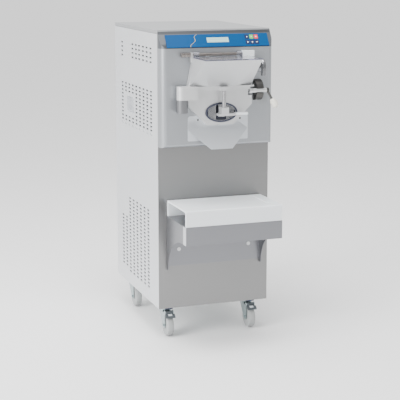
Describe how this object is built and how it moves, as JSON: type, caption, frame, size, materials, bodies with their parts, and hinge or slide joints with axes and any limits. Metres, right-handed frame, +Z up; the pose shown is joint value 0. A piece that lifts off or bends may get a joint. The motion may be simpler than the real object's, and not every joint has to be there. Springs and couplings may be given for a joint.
{
  "type": "batch freezer",
  "caption": "Floor-standing batch ice cream maker: steel cabinet on braked casters, hinged hopper door with gate and latch, tap, chute, shelf tray and sloped keypad.",
  "frame": {"origin": "on the floor, below the middle of the machine's overall box", "axes": "+Z up, -Y towards the front with the door, +X to the right seen from the front"},
  "size_m": [0.52, 0.936, 1.387],
  "materials": {
    "steel": "brushed stainless sheet",
    "bright_steel": "fine satin stainless",
    "dark_steel": "dark satin metal",
    "motor_housing": "painted cast housing",
    "condenser_fins": "finned aluminium",
    "electrics_box": "dark box of electrics",
    "barrel": "insulated freezing barrel",
    "white_plastic": "matt white food-grade plastic",
    "dark_rubber": "black rubber",
    "grey_rubber": "grey rubber tread",
    "zinc": "zinc-plated pressed steel",
    "blue_film": "satin blue membrane",
    "key_blue": "satin membrane key",
    "key_green": "satin membrane key",
    "key_red": "satin membrane key",
    "screen_glass": "pale green display",
    "clear_plastic": "clear plastic lid"
  },
  "bodies": {
    "cabinet": {"chassis_frame": "dark_steel", "left_side_panel": "steel", "right_side_panel": "steel", "rear_panel": "steel", "front_panel": "steel", "fascia": "steel", "top_cover": "steel", "control_panel": "blue_film", "display_window": "screen_glass", "control_box": "electrics_box", "freezing_barrel": "barrel", "bearing_housing": "motor_housing", "beater_motor": "motor_housing", "drive_belt": "dark_rubber", "compressor": "motor_housing", "condenser": "condenser_fins", "power_gland": "dark_rubber", "hinge_post": "steel", "latch_bracket": "dark_steel", "tap_flange": "bright_steel", "shelf_bracket": "steel"},
    "beater": {"beater_frame": "bright_steel", "scraper_blade_a": "white_plastic", "scraper_blade_b": "white_plastic", "drive_pulley": "motor_housing"},
    "motor_shaft": {"motor_pulley": "motor_housing"},
    "fan": {"condenser_fan": "dark_rubber"},
    "door": {"door_plate": "bright_steel", "door_gasket": "dark_rubber", "outlet_ring": "dark_steel", "outlet_grille": "dark_steel", "lid_rod": "dark_steel", "rod_holder": "white_plastic", "guide_rod": "bright_steel"},
    "lid": {"hopper_lid": "clear_plastic"},
    "gate": {"gate_plate": "bright_steel", "gate_block": "bright_steel", "gate_lever": "white_plastic"},
    "latch": {"latch_pin": "bright_steel", "latch_lever": "dark_steel", "latch_knob": "white_plastic"},
    "tap": {"tap_spout": "bright_steel"},
    "chute": {"delivery_chute": "steel"},
    "tray": {"shelf_tray": "white_plastic"},
    "key_up_body": {"key_up": "key_blue"},
    "key_start_body": {"key_start": "key_green"},
    "key_stop_body": {"key_stop": "key_red"},
    "key_cool_body": {"key_cool": "key_blue"},
    "key_beat_body": {"key_beat": "key_blue"},
    "key_menu_body": {"key_menu": "key_blue"},
    "caster_front_left": {"caster_fork_front_left": "zinc"},
    "wheel_front_left": {"caster_wheel_front_left": "grey_rubber"},
    "pedal_front_left": {"brake_pedal_front_left": "dark_steel"},
    "caster_front_right": {"caster_fork_front_right": "zinc"},
    "wheel_front_right": {"caster_wheel_front_right": "grey_rubber"},
    "pedal_front_right": {"brake_pedal_front_right": "dark_steel"},
    "caster_rear_left": {"caster_fork_rear_left": "zinc"},
    "wheel_rear_left": {"caster_wheel_rear_left": "grey_rubber"},
    "caster_rear_right": {"caster_fork_rear_right": "zinc"},
    "wheel_rear_right": {"caster_wheel_rear_right": "grey_rubber"}
  },
  "joints": [
    {"name": "door_swing", "type": "hinge", "parent": "cabinet", "child": "door", "pos_m": [-0.178, -0.296, 1.1], "axis": [0, 0, -1], "range_deg": [0, 110]},
    {"name": "lid_tilt", "type": "hinge", "parent": "door", "child": "lid", "pos_m": [0, -0.272, 1.283], "axis": [-1, 0, 0], "range_deg": [0, 100]},
    {"name": "gate_slide", "type": "slide", "parent": "door", "child": "gate", "axis": [0, 0, 1], "range_m": [0, 0.034]},
    {"name": "latch_turn", "type": "hinge", "parent": "cabinet", "child": "latch", "pos_m": [0.165, -0.2915, 1.122], "axis": [-1, 0, 0], "range_deg": [0, 110]},
    {"name": "tap_swivel", "type": "hinge", "parent": "cabinet", "child": "tap", "pos_m": [0.189, -0.269, 1.231], "axis": [0, -1, 0], "range_deg": [-20, 45]},
    {"name": "chute_lift", "type": "slide", "parent": "cabinet", "child": "chute", "axis": [0, 0, 1], "range_m": [0, 0.005]},
    {"name": "tray_lift", "type": "slide", "parent": "cabinet", "child": "tray", "axis": [0, 0, 1], "range_m": [0, 0.05]},
    {"name": "beater_spin", "type": "hinge", "parent": "cabinet", "child": "beater", "pos_m": [0, 0, 1.106], "axis": [0, 1, 0], "continuous": true},
    {"name": "motor_spin", "type": "hinge", "parent": "cabinet", "child": "motor_shaft", "pos_m": [0, 0, 0.776], "axis": [0, 1, 0], "continuous": true},
    {"name": "fan_spin", "type": "hinge", "parent": "cabinet", "child": "fan", "pos_m": [-0.154, 0.188, 0.3115], "axis": [1, 0, 0], "continuous": true},
    {"name": "key_up_press", "type": "slide", "parent": "cabinet", "child": "key_up_body", "axis": [0, 0.8312, -0.556], "range_m": [0, 0.001], "stiffness_N_per_m": 400},
    {"name": "key_start_press", "type": "slide", "parent": "cabinet", "child": "key_start_body", "axis": [0, 0.8312, -0.556], "range_m": [0, 0.001], "stiffness_N_per_m": 400},
    {"name": "key_stop_press", "type": "slide", "parent": "cabinet", "child": "key_stop_body", "axis": [0, 0.8312, -0.556], "range_m": [0, 0.001], "stiffness_N_per_m": 400},
    {"name": "key_cool_press", "type": "slide", "parent": "cabinet", "child": "key_cool_body", "axis": [0, 0.8312, -0.556], "range_m": [0, 0.001], "stiffness_N_per_m": 400},
    {"name": "key_beat_press", "type": "slide", "parent": "cabinet", "child": "key_beat_body", "axis": [0, 0.8312, -0.556], "range_m": [0, 0.001], "stiffness_N_per_m": 400},
    {"name": "key_menu_press", "type": "slide", "parent": "cabinet", "child": "key_menu_body", "axis": [0, 0.8312, -0.556], "range_m": [0, 0.001], "stiffness_N_per_m": 400},
    {"name": "swivel_front_left", "type": "hinge", "parent": "cabinet", "child": "caster_front_left", "pos_m": [-0.198, -0.108, 0.13], "axis": [0, 0, 1], "continuous": true},
    {"name": "roll_front_left", "type": "hinge", "parent": "caster_front_left", "child": "wheel_front_left", "pos_m": [-0.198, -0.144, 0.05], "axis": [1, 0, 0], "continuous": true},
    {"name": "brake_front_left", "type": "hinge", "parent": "caster_front_left", "child": "pedal_front_left", "pos_m": [-0.198, -0.16, 0.1145], "axis": [1, 0, 0], "range_deg": [0, 10]},
    {"name": "swivel_front_right", "type": "hinge", "parent": "cabinet", "child": "caster_front_right", "pos_m": [0.198, -0.108, 0.13], "axis": [0, 0, 1], "continuous": true},
    {"name": "roll_front_right", "type": "hinge", "parent": "caster_front_right", "child": "wheel_front_right", "pos_m": [0.198, -0.144, 0.05], "axis": [1, 0, 0], "continuous": true},
    {"name": "brake_front_right", "type": "hinge", "parent": "caster_front_right", "child": "pedal_front_right", "pos_m": [0.198, -0.16, 0.1145], "axis": [1, 0, 0], "range_deg": [0, 10]},
    {"name": "swivel_rear_left", "type": "hinge", "parent": "cabinet", "child": "caster_rear_left", "pos_m": [-0.198, 0.393, 0.13], "axis": [0, 0, 1], "continuous": true},
    {"name": "roll_rear_left", "type": "hinge", "parent": "caster_rear_left", "child": "wheel_rear_left", "pos_m": [-0.198, 0.357, 0.05], "axis": [1, 0, 0], "continuous": true},
    {"name": "swivel_rear_right", "type": "hinge", "parent": "cabinet", "child": "caster_rear_right", "pos_m": [0.198, 0.393, 0.13], "axis": [0, 0, 1], "continuous": true},
    {"name": "roll_rear_right", "type": "hinge", "parent": "caster_rear_right", "child": "wheel_rear_right", "pos_m": [0.198, 0.357, 0.05], "axis": [1, 0, 0], "continuous": true}
  ],
  "couplings": [
    {"joint": "motor_spin", "follows": "beater_spin", "ratio": 2.5}
  ]
}
